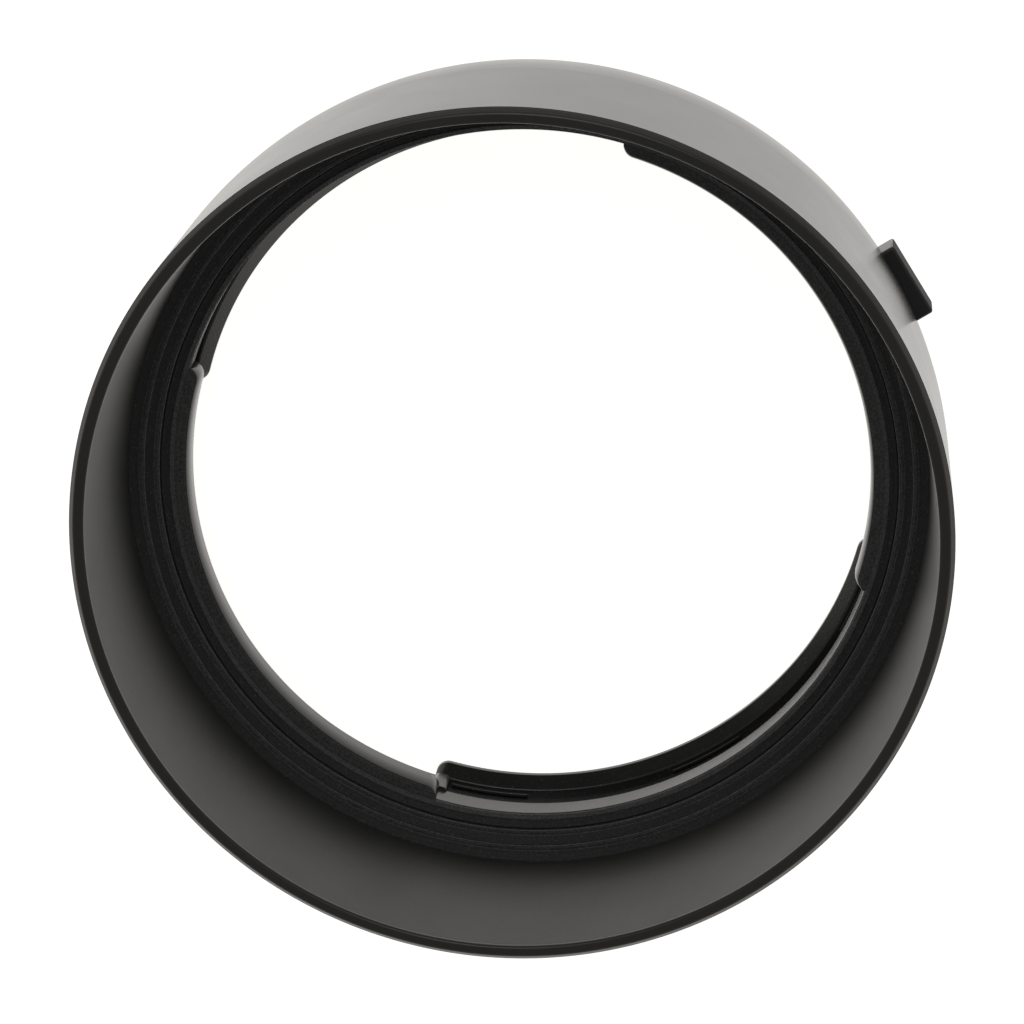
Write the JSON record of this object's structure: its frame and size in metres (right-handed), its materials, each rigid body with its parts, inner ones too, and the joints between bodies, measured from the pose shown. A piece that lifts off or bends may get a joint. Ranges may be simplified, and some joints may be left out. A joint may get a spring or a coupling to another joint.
{
  "type": "lens hood",
  "caption": "Short round black bayonet lens hood with a ridged light baffle and a sprung side button that frees its lock lever.",
  "frame": {"origin": "on the optical axis in the plane of the rear (mount) face", "axes": "+Z along the optical axis from the mount to the front opening, +X through the release button"},
  "size_m": [0.0915, 0.09, 0.034],
  "materials": {
    "barrel": "fine satin black moulding",
    "rim": "satin black",
    "baffle": "rough light-trapping black",
    "bayonet": "smooth semi-matt black",
    "cover": "matt black moulding",
    "button": "semi-gloss black",
    "lever": "slippery black acetal",
    "spring": "spring wire",
    "pin": "ground steel",
    "screw": "black-plated steel"
  },
  "bodies": {
    "hood": {"barrel_shell": "barrel", "front_rim_ring": "rim", "baffle_ring": "baffle", "bayonet_ring": "bayonet", "rear_cover": "cover", "cover_screws": "screw", "lever_pivot_pin": "pin", "return_spring": "spring"},
    "lever": {"lock_lever": "lever", "release_button": "button"}
  },
  "joints": [
    {"name": "button_rock", "type": "hinge", "parent": "hood", "child": "lever", "pos_m": [0.04019, 0.00891, 0.004], "axis": [0, 0, -1], "range_deg": [0, 6], "stiffness_Nm_per_rad": 0.05, "springref_deg": -8.59, "deforming": ["return_spring"]}
  ]
}
